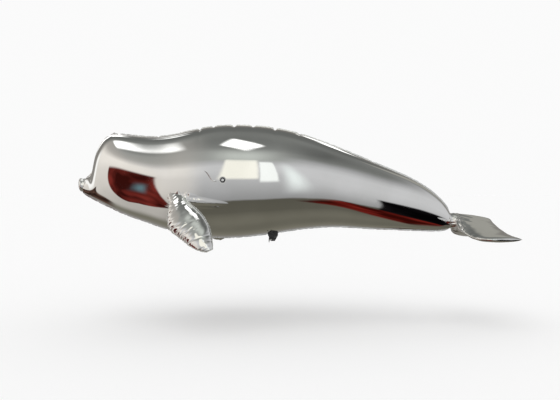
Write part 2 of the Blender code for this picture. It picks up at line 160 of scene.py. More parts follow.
AROUND = 110            # points from the back seam to the belly seam on one side
SEAM_HALF = 0.0008      # from the centre plane to the edge of a skin
FLANGE_OUT = 0.012
FLANGE_IN = 0.01

# Tucks seen along the back seam: photo_x, depth, reach down the flank
BACK_TUCKS = (
    (110, 0.01, 0.06), (114.5, -0.009, 0.03), (119, 0.01, 0.045), (158, 0.01, 0.045),
    (200, 0.018, 0.12), (213.5, 0.022, 0.07), (234, 0.03, 0.09), (253.5, 0.026, 0.07),
    (275, 0.032, 0.1), (299.5, 0.01, 0.08), (330, 0.005, 0.05), (372, 0.005, 0.04),
)
BACK_TUCK_WIDE = 0.012
# Small tucks all along an edge: ranges of gap, depth, reach into the film and width
EDGE_TUCKS = {
    "back": ((0.03, 0.09), (0.001, 0.0042), (0.015, 0.06), (0.004, 0.009)),
    "belly": ((0.03, 0.1), (0.001, 0.0048), (0.015, 0.065), (0.004, 0.009)),
    "flipper_lead": ((0.014, 0.05), (0.003, 0.011), (0.02, 0.1), (0.003, 0.007)),
    "flipper_trail": ((0.02, 0.06), (0.001, 0.004), (0.01, 0.04), (0.003, 0.007)),
    "fluke_lead": ((0.025, 0.07), (0.001, 0.005), (0.02, 0.07), (0.003, 0.007)),
    "fluke_trail": ((0.025, 0.07), (0.001, 0.0045), (0.02, 0.06), (0.003, 0.007)),
}
TUCK_LEAN = 0.35
# Slow waves: height, shortest wave. The height of rim_width is a share of the rim's width, and
# flange_turn only says to which side a tuck bends the flange.
WAVES = {
    "body": (0.0014, 0.42), "flipper": (0.0012, 0.11), "fluke": (0.0012, 0.16),
    "flange_width": (0.0012, 0.06), "flange_swing": (0.0022, 0.07), "flange_turn": (4, 0.1),
    "rim_width": (0.2, 0.03), "rim_swing": (0.0016, 0.035),
}
# Reach of the fine creases beside an edge, for the film's finish
BODY_PUCKER, PILLOW_PUCKER = 0.03, 0.02

# Snout lump: centre_x, centre_z, half_height, half_width
NOSE_ROWS = (
    (-1.583, -0.010, 0.062, 0.050),
    (-1.598, -0.008, 0.064, 0.054),
    (-1.611, -0.005, 0.060, 0.050),
    (-1.621, -0.003, 0.044, 0.036),
    (-1.628, -0.002, 0.016, 0.014),
)
# Neck behind the body, which runs on into the flukes: centre_x, centre_z, half_height, half_width
NECK_ROWS = (
    (1.9500, -0.3500, 0.073, 0.069),
    (1.9750, -0.3465, 0.072, 0.082),
    (2.0000, -0.3455, 0.067, 0.096),
    (2.0300, -0.3450, 0.050, 0.108),
)

# Flipper stations from root to tip: along, lead, trail, half_thickness
FLIPPER_ROWS = (
    (-0.100, -0.064, 0.036, 0.014),
    (-0.040, -0.084, 0.050, 0.024),
    (0.010, -0.106, 0.056, 0.036),
    (0.058, -0.134, 0.058, 0.049),
    (0.110, -0.164, 0.066, 0.058),
    (0.170, -0.192, 0.086, 0.063),
    (0.230, -0.209, 0.102, 0.066),
    (0.285, -0.203, 0.109, 0.066),
    (0.345, -0.182, 0.110, 0.063),
    (0.410, -0.159, 0.103, 0.057),
    (0.480, -0.133, 0.085, 0.048),
    (0.540, -0.098, 0.063, 0.036),
    (0.585, -0.062, 0.045, 0.024),
    (0.612, -0.024, 0.030, 0.011),
)
FLIPPER_ROOT = Vector((-0.602, 0.455, -0.129))      # of the right flipper
FLIPPER_ALONG = Vector((0.491, 0.47, -0.733)).normalized()
FLIPPER_CREASE = 0.007      # depth of its sharp creases
RIM_IN, RIM_THICK = 0.003, 0.0012
FLIPPER_RIM, FLUKE_RIM = 0.006, 0.007

# Fluke stations from the centre plane out: side, lead_x, trail_x, half_thickness, blunt
FLUKE_ROWS = (
    (0.000, 1.9756, 2.330, 0.068, 1.00),
    (0.045, 1.9756, 2.336, 0.068, 0.98),
    (0.085, 1.9756, 2.344, 0.065, 0.85),
    (0.130, 1.9800, 2.354, 0.058, 0.50),
    (0.200, 1.9980, 2.372, 0.052, 0.20),
    (0.300, 2.0300, 2.402, 0.046, 0.00),
    (0.400, 2.0720, 2.437, 0.038, 0.00),
    (0.450, 2.1150, 2.456, 0.031, 0.00),
    (0.485, 2.1800, 2.466, 0.022, 0.00),
    (0.500, 2.2700, 2.462, 0.010, 0.00),
)
FLUKE_Z = -0.345
FLUKE_DROOP = 0.155
# Pleats that fan out from the neck: centre, number in half a turn, depth, where deepest, reach
PLEAT_X, PLEATS, PLEAT_DEPTH, PLEAT_AT, PLEAT_REACH = 1.93, 8.5, 0.01, 0.05, 0.14
# Folds along the gathered front edges of the flukes: which face, distance from the edge, width,
# depth; over FLUKE_FOLD_OUT +- FLUKE_FOLD_LONG out from the centre plane
FLUKE_FOLDS = (
    (1, 0.01, 0.007, 0.012),
    (1, 0.034, 0.015, -0.018),
    (-1, 0.012, 0.008, 0.008),
    (-1, 0.036, 0.018, -0.012),
)
FLUKE_FOLD_OUT, FLUKE_FOLD_LONG = 0.1, 0.07

# Filling valve on the left flank
VALVE_AT = (-0.203, -0.5083, 0.033)     # middle of its outer face
VALVE_RING = (0.017, 0.026)             # inner and outer radius
VALVE_BEAD = 0.0012
# Half of the ring's section, in beads: distance in from either of its edges, height
BEAD_ROWS = ((0, 0), (0, 1), (1, 1.8), (2.5, 1.8), (3.5, 1))
# Crease of the inlet strip that leads to the valve, in photo pixels, its size and its section
INLET_PX = ((204.0, 170.6), (206.5, 172.6), (208.8, 175.2), (210.6, 178.6), (213.2, 180.6), (216.8, 181.0))
INLET_HALF, INLET_HIGH = 0.006, 0.0035
INLET_SECTION = ((-1, -0.4), (-0.7, 0.25), (-0.4, 0.9), (0, 1.0), (0.25, 0.35), (0.6, 0.5), (1, -0.4))

# Film drawn up round the root of the left flipper, in photo pixels: both ends of the area across
# and down, the root's middle, and the ridges as start, end, width and height
ROOT_AREA = ((158.0, 234.0), (186.0, 214.0))
ROOT_MIDDLE = (178.0, 201.0)
ROOT_RIDGES = (
    ((179.0, 199.0), (230.0, 204.0), 0.036, 0.024),
    ((190.0, 195.0), (198.0, 196.0), 0.018, 0.005),
    ((176.0, 203.0), (166.0, 197.0), 0.016, 0.004),
    ((177.0, 202.0), (170.0, 191.5), 0.014, 0.004),
    ((179.0, 201.0), (178.0, 188.5), 0.015, 0.004),
    ((181.0, 201.0), (189.0, 189.5), 0.014, 0.004),
    ((172.0, 207.0), (160.0, 204.0), 0.015, 0.003),
)
# Small creases all round the root: depth, blotch, reach. The rest lies ROOT_SUNK under the skin.
ROOT_ROUGH, ROOT_BLOTCH, ROOT_REACH = 0.005, 0.07, 0.075
ROOT_SUNK = 0.0012
# Rounded folds at the gathered ends of the body: number, depth there, what they gain beyond, and
# the depth of the sharp creases
NOSE_FOLDS, NOSE_FOLD_DEPTH, NOSE_FOLD_GAIN, NOSE_CREASE = 5, 0.005, 0.012, 0.012
NECK_FOLDS, NECK_FOLD_DEPTH, NECK_FOLD_GAIN, NECK_CREASE = 8, 0.006, 0.01, 0.007

# Drive pod
FOAM_PITCH, FOAM_UNEVEN, FOAM_BLOTCH = 0.002, 0.0006, 0.012
SCREW_R = 0.0021
# Outline of a screw's head: share of its radius, height
SCREW_HEAD = ((1, -0.002), (1, 0.0003), (0.8, 0.0009), (0.42, 0.0011), (0.36, 0.0004))
SCREW_SUNK = 0.0008
SCREW_DOWN = 0.006   # below the top of the hull
SCREW_IN = 0.01      # from the ends of the hull
SLEEVE_LONG = 0.005  # plastic sleeve on the back end of a motor can
SLEEVE_THICK = 0.0004
# Its outline: radius beyond the full one, distance along
SLEEVE_ROWS = ((-0.0004, 0), (0, 0.0004), (0, SLEEVE_LONG - 0.0003), (-0.0002, SLEEVE_LONG))
HUB_R = 0.004
SPINNER_LONG = 0.0035
SPINNER_ANGLES = (0.12, 0.35, 0.6, 0.85, 1.1, 1.35, pi / 2)
# Blade stations: radius, chord, twist in degrees
BLADE_ROWS = (
    (0.002, 0.007, 42.0),
    (0.010, 0.011, 34.0),
    (0.020, 0.012, 22.0),
    (0.027, 0.009, 16.0),
    (0.0295, 0.004, 14.0),
)
BLADE_THICK = 0.0012
BLADE_BACK = 0.0006  # behind the hub's middle

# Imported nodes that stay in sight, by material slot
KEPT_NODES = {
    "film_flange": ("valve_patch",),
    "clear_plastic": ("valve_plug",),
    "black_plastic": ("pod_plate", "pod_hull", "clamp_left", "clamp_right"),
    "grey_plastic": ("battery", "pod_switch", "bushing_left", "bushing_right"),
    "bright_steel": ("tilt_shaft", "motor_left", "motor_right"),
}


# Curves and grids

def spline(rows, places):
    """Rows on a natural cubic spline through the table's rows, by distance between them. places
    is their number, or the share of the whole length at which each lies."""
    table = np.array(rows, float)
    t = run_length(table)
    step = np.diff(t)
    last = len(step)
    system = np.eye(last + 1)
    for k in range(1, last):
        system[k, k - 1:k + 2] = step[k - 1], 2 * (step[k - 1] + step[k]), step[k]
    right = np.zeros_like(table)
    right[1:-1] = 6 * np.diff(np.diff(table, axis=0) / step[:, None], axis=0)
    bend = np.linalg.solve(system, right)
    at = t[-1] * (np.linspace(0, 1, places) if isinstance(places, int) else places)
    k = np.clip(np.searchsorted(t, at, side="right") - 1, 0, last - 1)
    low, high, h = (at - t[k])[:, None], (t[k + 1] - at)[:, None], step[k][:, None]
    return (
        (bend[k] * high ** 3 + bend[k + 1] * low ** 3) / (6 * h)
        + (table[k] / h - bend[k] * h / 6) * high
        + (table[k + 1] / h - bend[k + 1] * h / 6) * low
    )


def run_length(points):
    """Distance from the first point, along the first axis."""
    steps = np.linalg.norm(np.diff(points, axis=0), axis=-1)
    return np.concatenate([np.zeros_like(steps[:1]), np.cumsum(steps, axis=0)])


def unit(vectors):
    return vectors / np.maximum(np.linalg.norm(vectors, axis=-1, keepdims=True), 1e-12)


def normals_of(points, closed=False):
    """Unit normals of a grid of points."""
    if closed:
        across = np.roll(points, -1, axis=1) - np.roll(points, 1, axis=1)
    else:
        across = np.gradient(points, axis=1)
    return unit(np.cross(np.gradient(points, axis=0), across))


def grid_mesh(name, points, closed=False, pucker=None):
    """A smooth mesh over a grid of points. closed joins its last column to its first and caps
    its ends. pucker is how creased the film is at each point, for its finish."""
    rows, columns = points.shape[:2]
    index = np.arange(rows * columns).reshape(rows, columns)
    ends = []
    if closed:
        ends = [index[0].tolist(), index[-1][::-1].tolist()]
        index = np.concatenate([index, index[:, :1]], axis=1)
    faces = np.stack([index[:-1, :-1], index[1:, :-1], index[1:, 1:], index[:-1, 1:]], axis=-1)
    mesh = bpy.data.meshes.new(name)
    mesh.from_pydata(points.reshape(-1, 3).tolist(), [], faces.reshape(-1, 4).tolist() + ends)
    mesh.shade_smooth()
    if pucker is not None:
        kept = mesh.attributes.new("pucker", "FLOAT", "POINT")
        values = np.broadcast_to(pucker, (rows, columns)).reshape(-1)
        kept.data.foreach_set("value", values.astype(np.float32))
    return mesh


def turned(name, rows, centre, axis, steps=32):
    """A closed turned form. rows are (radius, distance along the axis), from end to end."""
    axis = np.array(axis, float)
    first = unit(np.cross(axis, [0.3, 0.5, 0.8]))
    second = np.cross(axis, first)
    angle = 2 * pi * np.arange(steps) / steps
    spoke = np.cos(angle)[:, None] * first + np.sin(angle)[:, None] * second
    points = [np.array(centre) + axis * along + radius * spoke for radius, along in rows]
    mesh = grid_mesh(name, np.stack(points), closed=True)
    mesh.set_sharp_from_angle(angle=radians(40))
    return mesh


def joined(name, meshes):
    """One mesh from several."""
    build = bmesh.new()
    for mesh in meshes:
        build.from_mesh(mesh)
        bpy.data.meshes.remove(mesh)
    made = bpy.data.meshes.new(name)
    build.to_mesh(made)
    build.free()
    return made


def waves(length, kind, seed):
    """A smooth wandering function of distance, of one of the kinds in WAVES."""
    size, reach = WAVES[kind]
    source = np.random.default_rng(seed)
    total = 0
    for k in range(7):
        wave = reach * (1 + 0.7 * k)
        total = total + np.sin(2 * pi * (length / wave + source.random())) * (0.5 + source.random())
    return size * total / 3.5


def small_tucks(length, kind, seed):
    """Tucks of one of the kinds in EDGE_TUCKS: the distance of each along the edge, its depth,
    reach into the film, width and lean."""
    source = np.random.default_rng(seed)
    gap, *spans = EDGE_TUCKS[kind]
    at = np.cumsum(source.uniform(*gap, size=int(length / gap[0]) + 1))
    spans.append((-TUCK_LEAN, TUCK_LEAN))
    return [(place, *(source.uniform(*span) for span in spans)) for place in at[at < length]]


def tuck_fall(tucks, along, away):
    """How far tucks draw the film in, at a distance along the edge and away from it."""
    total = np.zeros(np.broadcast(along, away).shape)
    for at, depth, reach, width, lean in tucks:
        off = abs(along - at - lean * away) / (width * (1 + 0.5 * away / reach))
        total += depth * np.exp(-off ** 1.5) * np.exp(-(away / reach) ** 1.3)
    return total


def crumple(first, second, size, seed):
    """Sharp random creases over a pair of surface distances, between 0 and about 1."""
    flat = np.broadcast_arrays(first, second)
    places = np.stack([part.reshape(-1) / size for part in flat], axis=1)
    values = [noise.ridged_multi_fractal((a, b, seed), 0.9, 2.1, 3, 1.0, 1.6) for a, b in places]
    return np.array(values).reshape(flat[0].shape) / 2.2


def line_fold(points, start, end, width, height):
    """A ridge along the line between two places of the film, which fades out at its end."""
    start, end = np.array(start), np.array(end)
    span = end - start
    share = np.clip(((points - start) @ span) / (span @ span), 0, 1)
    away = np.linalg.norm(points - start - share[..., None] * span, axis=-1)
    size = 1 - share ** 1.5
    return height * size * np.exp(-(away / (width * (0.4 + 0.6 * size))) ** 2)


def seen_on(points, px, py):
    """The place of a grid that shows at a pixel of the photograph, on its near side."""
    camera = np.array(CAMERA_AT)
    target = np.array([(px - ORIGIN_PX[0]) * PIXEL, 0.0, (ORIGIN_PX[1] - py) * PIXEL])
    ray = unit(target - camera)
    reach = points - camera
    along = reach @ ray
    off = np.linalg.norm(reach - along[..., None] * ray, axis=-1)
    score = off + 0.02 * (along - along.min())
    return np.unravel_index(np.argmin(score), score.shape)


def ribbon(name, line, out, side, wide, inner, thick, wave):
    """A thin closed strip along a line, from inner behind it to wide beyond it. out and side
    are unit vectors at each point; wave moves its free edge sideways."""
    outline = (
        (-inner, -0.5), (-inner, 0.5), (0, 0.5), (0.55, 0.5), (0.92, 0.5), (1, 0),
        (0.92, -0.5), (0.55, -0.5), (0, -0.5),
    )
    columns = []
    for reach, half in outline:
        away = reach * (wide if reach > 0 else np.ones(len(line)))
        swing = max(reach, 0) ** 1.5 * wave
        columns.append(line + out * away[:, None] + side * (half * thick + swing)[:, None])
    return grid_mesh(name, np.stack(columns, axis=1), closed=True)


def end_taper(length):
    """Share of a strip's width along it, which runs out at both of its ends."""
    return (1 - 0.9 * np.exp(-length / 0.02)) * (1 - 0.9 * np.exp((length - length[-1]) / 0.02))


def edge_pucker(away, reach):
    """How creased the film is at a distance from its welded edge."""
    return 0.6 * np.exp(-away / reach)


def placed(data):
    """A new object in the scene, named like its data."""
    made = bpy.data.objects.new(data.name, data)
    bpy.context.scene.collection.objects.link(made)
    return made


def piece(mesh, slot, replaces=None, body="blimp"):
    """A piece of the visual model, with the finish of its material slot."""
    made = placed(mesh)
    mesh.materials.append(FINISHES[slot])
    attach(made, body)
    if replaces:
        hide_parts(replaces)
    return made


# Body

def body_lines(places):
    """The back and belly lines of the body and its half width along them."""
    rows = np.insert(spline(BODY_ROWS, places), (1, 3), 0, axis=1)      # with both y
    return rows[:, :3], rows[:, 3:6], rows[:, 6]


def taut_film(side, places, turns):
    """A grid over one side of the body, with its outward normals. turns are the shares of the
    way from the back seam to the belly seam."""
    back, belly, half_width = body_lines(places)
    angle = pi * turns
    middle, up = (back + belly) / 2, (back - belly) / 2
    points = middle[:, None] + up[:, None] * np.cos(angle)[None, :, None]
    points[:, :, 1] = side * half_width[:, None] * np.sin(angle)[None]
    normal = normals_of(points)
    normal = normal * np.sign((normal[:, :, 1] * side).mean())
    swell = waves(points[:, :, 0] + 0.4 * points[:, :, 2], "body", 21 + side)
    return points + normal * (swell * np.sin(angle)[None] ** 2)[:, :, None], normal


def seam_tucks():
    """The tucks of the back seam and of the belly seam."""
    back, belly, _ = body_lines(400)
    length = run_length(back)
    back_tucks = small_tucks(length[-1], "back", 3)
    for photo_x, depth, reach in BACK_TUCKS:
        x = (photo_x - ORIGIN_PX[0]) * PIXEL
        nearest = np.argmin(np.where(back[:, 2] > 0.1, abs(back[:, 0] - x), 9))
        back_tucks.append((length[nearest], depth, reach, BACK_TUCK_WIDE, 0))
    return back_tucks, small_tucks(run_length(belly)[-1], "belly", 5)


def film_turns():
    """Shares of the way from seam to seam, closer together at the seams."""
    even = np.linspace(0, 1, int(AROUND * FINE))
    return even - 0.8 * np.sin(2 * pi * even) / (2 * pi)


def body_grid(side, tucks):
    """The puckered film of one side, and how creased it is at each point."""
    places = np.linspace(0, 1, int(STATIONS * FINE))
    turns = film_turns()
    points, normal = taut_film(side, places, turns)
    around = run_length(points.transpose(1, 0, 2)).T
    away_back, away_belly = around, around[:, -1:] - around
    along_back = run_length(points[:, 0])[:, None]
    along_belly = run_length(points[:, -1])[:, None]
    fall = tuck_fall(tucks[0], along_back, away_back) + tuck_fall(tucks[1], along_belly, away_belly)
    pucker = edge_pucker(np.minimum(away_back, away_belly), BODY_PUCKER)
    for folds, seed, depth, reach, from_end in (
        (NOSE_FOLDS, 41, NOSE_FOLD_DEPTH, 0.04, along_belly),
        (NECK_FOLDS, 45, NECK_FOLD_DEPTH, 0.03, along_back[-1:] - along_back),
    ):
        near = np.exp(-from_end / reach)
        fall = fall + depth * near * valleys(side * pi * turns[None], folds, seed)
        pucker = np.maximum(pucker, 0.5 * near)
    points = points - normal * fall[:, :, None]
    points[:, :, 1] = side * np.maximum(abs(points[:, :, 1]), SEAM_HALF)
    points[:, (0, -1), 1] = side * SEAM_HALF
    return points, pucker


def make_body():
    """The two skins and the weld flanges between them. Returns the skins' grids by side."""
    tucks = seam_tucks()
    skins = {}
    for side, name in SIDES:
        skins[side], pucker = body_grid(side, tucks)
        mesh = grid_mesh(f"film_{name}", skins[side], pucker=pucker)
        piece(mesh, "mirror_film", replaces=f"envelope_{name}")
    count = int(STATIONS * 1.5 * FINE)
    back, belly, _ = body_lines(count)
    sideways = np.tile([0.0, 1.0, 0.0], (count, 1))
    for name, line, turn, seam in (("back", back, 1, tucks[0]), ("belly", belly, -1, tucks[1])):
        along = unit(np.gradient(line, axis=0))
        out = turn * np.stack([-along[:, 2], 0 * along[:, 0], along[:, 0]], axis=1)
        length = run_length(line)
        drawn = tuck_fall(seam, length, np.zeros(count))
        wide = FLANGE_OUT + waves(length, "flange_width", 31) - 0.6 * drawn
        wide = np.maximum(wide, 0.3 * FLANGE_OUT) * end_taper(length)
        swing = waves(length, "flange_swing", 33)
        swing = swing + 0.6 * drawn * np.tanh(waves(length, "flange_turn", 35))
        line = line - out * drawn[:, None] * 0.8
        strip = ribbon(f"flange_{name}", line, out, sideways, wide, FLANGE_IN, 2 * SEAM_HALF, swing)
        piece(strip, "film_flange", replaces=f"seam_{name}")
    return skins


# Gathered ends

def valleys(angle, folds, seed):
    """Sharp valleys between rounded folds, 0 to 1, round a gathered end."""
    source = np.random.default_rng(seed)
    for k in (1, 2, 3):
        angle = angle + 0.3 / k * np.sin(k * angle + 6 * source.random())
    deep = (0.5 + 0.5 * np.cos(folds * angle)) ** 2
    return (deep + 0.25 * (0.5 + 0.5 * np.cos((folds + 4) * angle + 1)) ** 2) / 1.25


def end_rings(skins, row, rows, folds, seed, gain):
    """Upright oval rings that carry one end of the body's two skins on, its folds with them, and
    the angle of their points. gain is what the folds gain in metres at each ring."""
    right, left = skins[1][row], skins[-1][row]
    first = np.concatenate([right, left[-2:0:-1]])
    spoke = first - first.mean(axis=0)
    turn = np.arctan2(spoke[:, 1], spoke[:, 2])
    table = [first.reshape(-1)]
    for x, z, half_height, half_width in rows:
        ring = [x + 0 * turn, half_width * np.sin(turn), z + half_height * np.cos(turn)]
        table.append(np.stack(ring, axis=1).reshape(-1))
    rings = spline(table, len(gain)).reshape(len(gain), -1, 3)
    turns = film_turns()
    angle = pi * np.concatenate([turns, -turns[-2:0:-1]])[None]
    spoke = unit(rings - rings.mean(axis=1, keepdims=True))
    return rings - spoke * (gain * valleys(angle, folds, seed))[:, :, None], angle


def crumpled_end(name, node, rings, angle, radius, run, size, depth, seed, pucker):
    """The piece over some rings, with sharp creases that are laid out round a radius and run on
    by run from the first ring to the last."""
    share = np.linspace(0, 1, len(rings))[:, None]
    first, second = radius * np.cos(angle) + run[0] * share, radius * np.sin(angle) + run[1] * share
    creases = crumple(first, second, size, seed)
    rings = rings - outward_normals(rings) * (depth * creases)[:, :, None]
    piece(grid_mesh(name, rings, closed=True, pucker=pucker), "mirror_film", replaces=node)


def make_ends(skins):
    share = np.linspace(0, 1, int(60 * FINE))[:, None]
    rings, angle = end_rings(skins, 0, NOSE_ROWS, NOSE_FOLDS, 41, NOSE_FOLD_GAIN * share)
    depth = NOSE_CREASE * share ** 0.7
    crumpled_end("snout", "nose_gather", rings, angle, 0.05, (0, 0.08), 0.045, depth, 43, 0.5 + 0 * share)
    gain = NECK_FOLD_GAIN * np.sin(pi * share) ** 0.7
    rings, angle = end_rings(skins, -1, NECK_ROWS, NECK_FOLDS, 45, gain)
    depth = NECK_CREASE * np.sqrt(share)
    crumpled_end("neck", "tail_gather", rings, angle, 0.07, (0.04, 0), 0.05, depth, 47, 0.5 - 0.3 * share)


def make_root_relief():
    """Film drawn up round the root of each flipper: the long ridge behind it and the small
    creases that fan out over it. Where nothing is raised it lies just under the skin."""
    places, turns = np.linspace(0, 1, 400), np.linspace(0, 1, 300)
    coarse, _ = taut_film(-1, places, turns)
    rows, columns = zip(*(seen_on(coarse, px, py) for px in ROOT_AREA[0] for py in ROOT_AREA[1]))
    places = np.linspace(places[min(rows)], places[max(rows)], int(300 * FINE))
    turns = np.linspace(turns[min(columns)], turns[max(columns)], int(150 * FINE))
    ridges = [
        (coarse[seen_on(coarse, *start)], coarse[seen_on(coarse, *end)], width, height)
        for start, end, width, height in ROOT_RIDGES
    ]
    middle = coarse[seen_on(coarse, *ROOT_MIDDLE)]
    for side, name in SIDES:
        points, normal = taut_film(side, places, turns)
        left = points * (1, -side, 1)       # the same places of the left flank
        raised = sum(line_fold(left, *ridge) for ridge in ridges)
        near = np.exp(-(np.linalg.norm(left - middle, axis=2) / ROOT_REACH) ** 2)
        rough = crumple(points[:, :, 0], points[:, :, 2], ROOT_BLOTCH, 50.5 + side)
        raised = raised * (0.88 + 0.2 * rough) + ROOT_ROUGH * near * rough - ROOT_SUNK
        points = points + normal * raised[:, :, None]
        pucker = 0.4 * np.clip(raised / 0.006, 0, 1)
        piece(grid_mesh(f"root_relief_{name}", points, pucker=pucker), "mirror_film")


# Flippers and flukes

def lens(count):
    """Once round a pillow section from its front edge: share across, height, and which face."""
    angle = 2 * pi * np.arange(count) / count
    return (1 - np.cos(angle)) / 2, np.sin(angle), np.where(np.sin(angle) >= 0, 1, -1)


def outward_normals(points):
    """Unit normals of a closed grid, which point away from its middle."""
    normal = normals_of(points, closed=True)
    centre = points.mean(axis=1, keepdims=True)
    return normal * np.sign(((points - centre) * normal).sum())


def edge_tucks(points, edge, kind, seed):
    """Tucks along one edge of a pillow, whose column is given, and the distance from it."""
    line = points[:, edge]
    along = run_length(line)
    away = np.linalg.norm(points - line[:, None], axis=2)
    return tuck_fall(small_tucks(along[-1], kind, seed), along[:, None], away), away


def make_pillow(name, points, fall, away, node):
    """The film of a pillow, drawn in by fall. away is the distance from its nearer edge.
    Returns its grid."""
    skin = points - outward_normals(points) * fall[:, :, None]
    mesh = grid_mesh(name, skin, closed=True, pucker=edge_pucker(away, PILLOW_PUCKER))
    piece(mesh, "mirror_film", replaces=node)
    return skin


def make_rim(name, points, wide, seed):
    """The welded rim round a pillow: out along its front edge, round the tip and back."""
    columns = points.shape[1]
    line = np.concatenate([points[:, 0], points[::-1, columns // 2]])
    line = line[np.diff(run_length(line), prepend=-1) > 1e-4]
    length = run_length(line)
    even = np.linspace(0, length[-1], len(line))
    line = np.stack([np.interp(even, length, line[:, k]) for k in range(3)], axis=1)
    along = unit(np.gradient(line, axis=0))
    middle = len(points) // 2
    through = points[middle, columns // 4] - points[middle, 3 * columns // 4]
    side = unit(through - along * (along @ through)[:, None])
    out = np.cross(along, side)
    if ((line - points.mean(axis=(0, 1))) * out).sum() < 0:
        out = -out
    rim = wide * (1 + waves(even, "rim_width", seed)) * end_taper(even)
    swing = waves(even, "rim_swing", seed + 1)
    piece(ribbon(name, line, out, side, rim, RIM_IN, RIM_THICK, swing), "film_flange")


def make_flippers():
    """Both pillow flippers, deeply creased along the front edge."""
    around = int(144 * FINE)
    rows = spline(FLIPPER_ROWS, int(220 * FINE))
    out_along, lead, trail, half_thick = (rows[:, k:k + 1] for k in range(4))
    share, height, _ = lens(around)
    for side, name in SIDES:
        along = np.array(FLIPPER_ALONG) * (1, side, 1)
        across = unit(np.array([1.0, 0, 0]) - along * along[0])
        normal = np.cross(along, across)
        root = np.array(FLIPPER_ROOT) * (1, side, 1)
        flat = lead + (trail - lead) * share[None]
        thick = (half_thick * height[None])[:, :, None]
        points = root + along * out_along[:, :, None] + across * flat[:, :, None] + normal * thick
        lead_tucks, away_lead = edge_tucks(points, 0, "flipper_lead", 60 + side)
        trail_tucks, away_trail = edge_tucks(points, around // 2, "flipper_trail", 64 + side)
        rough = np.exp(-away_lead / 0.035) + 0.8 * np.exp(-abs(out_along - 0.02) / 0.06)
        creases = crumple(out_along, flat * 0.45 + 0.1 * np.sign(height)[None], 0.06, 70.5 + side)
        fall = lead_tucks + trail_tucks + FLIPPER_CREASE * rough * creases
        fall = fall * np.clip(half_thick / 0.05, 0.2, 1)
        fall -= waves(out_along * 1.3 + flat, "flipper", 70 + side)
        away = np.minimum(away_lead, away_trail)
        skin = make_pillow(f"flipper_film_{name}", points, fall, away, f"flipper_{name}")
        make_rim(f"flipper_rim_{name}", skin[out_along[:, 0] > -0.02], FLIPPER_RIM, 80 + side)


def make_flukes():
    """Both lobes as one pillow, with pleats from the neck and folds along the front edges."""
    around = int(160 * FINE)
    half = spline(FLUKE_ROWS, int(150 * FINE))
    span = FLUKE_ROWS[-1][0]
    rows = np.concatenate([half[:0:-1] * (-1, 1, 1, 1, 1), half])
    y, lead, trail, half_thick, blunt = (rows[:, k:k + 1] for k in range(5))
    out, blunt = abs(y), np.clip(blunt, 0, 1)
    share, height, sign = lens(around)
    square = np.sqrt(np.maximum(1 - share, 0)) * sign
    x = lead + (trail - lead) * share[None]
    z = FLUKE_Z - FLUKE_DROOP * np.sin(pi / 2 * out / span)
    z = z + half_thick * ((1 - blunt) * height[None] + blunt * square[None])
    points = np.stack([x, y + 0 * x, z], axis=2)

    root_away, angle = np.hypot(x - PLEAT_X, out), np.arctan2(out, x - PLEAT_X)
    pleats = (0.5 + 0.5 * np.cos(2 * PLEATS * angle + 1.3 * sign[None])) ** 3
    fall = PLEAT_DEPTH * pleats * np.exp(-((root_away - PLEAT_AT) / PLEAT_REACH) ** 2)
    lead_tucks, away_lead = edge_tucks(points, 0, "fluke_lead", 90)
    trail_tucks, away_trail = edge_tucks(points, around // 2, "fluke_trail", 92)
    fall += (lead_tucks + trail_tucks) * np.clip(out / 0.15, 0, 1)
    fall -= waves(out * 1.2 + 0.8 * x, "fluke", 95)
    window = np.exp(-((out - FLUKE_FOLD_OUT) / FLUKE_FOLD_LONG) ** 2)
    for face, away, width, depth in FLUKE_FOLDS:
        fall += (sign == face)[None] * window * depth * np.exp(-((away_lead - away) / width) ** 2)
    fall *= np.clip(half_thick / 0.04, 0.2, 1) * (1 - blunt * np.exp(-share[None] / 0.03))
    skin = make_pillow("fluke_film", points, fall, np.minimum(away_lead, away_trail), "tail_flukes")
    for side, name in SIDES:
        outer = skin[y[:, 0] * side > 0.1]
        make_rim(f"fluke_rim_{name}", outer[::side], FLUKE_RIM, 100 + side)


# Filling valve

def make_valve():
    """The ring round the valve's mouth and the crease of the inlet strip."""
    inner, outer = VALVE_RING
    rows = [(inner + off * VALVE_BEAD, high * VALVE_BEAD) for off, high in BEAD_ROWS]
    rows += [(outer - off * VALVE_BEAD, high * VALVE_BEAD) for off, high in reversed(BEAD_ROWS)]
    piece(turned("valve_ring", rows, VALVE_AT, (0, -1, 0), 64), "grey_plastic")

    points, normal = taut_film(-1, np.linspace(0, 1, 500), np.linspace(0, 1, 300))
    places = [seen_on(points, *pixel) for pixel in INLET_PX]
    line = spline([points[place] for place in places], int(60 * FINE))
    out = np.mean([normal[place] for place in places], axis=0)
    side = np.cross(unit(np.gradient(line, axis=0)), out)
    share = np.linspace(0, 1, len(line))
    size = (0.35 + 0.65 * np.sin(pi * share) ** 0.5)[:, None, None]
    section = np.array(INLET_SECTION)[None]
    ridge = side[:, None] * section[:, :, :1] * INLET_HALF + out * section[:, :, 1:] * INLET_HIGH
    mesh = grid_mesh("inlet_crease", line[:, None] + ridge * size, closed=True, pucker=1.0)
    piece(mesh, "mirror_film")


# Drive pod

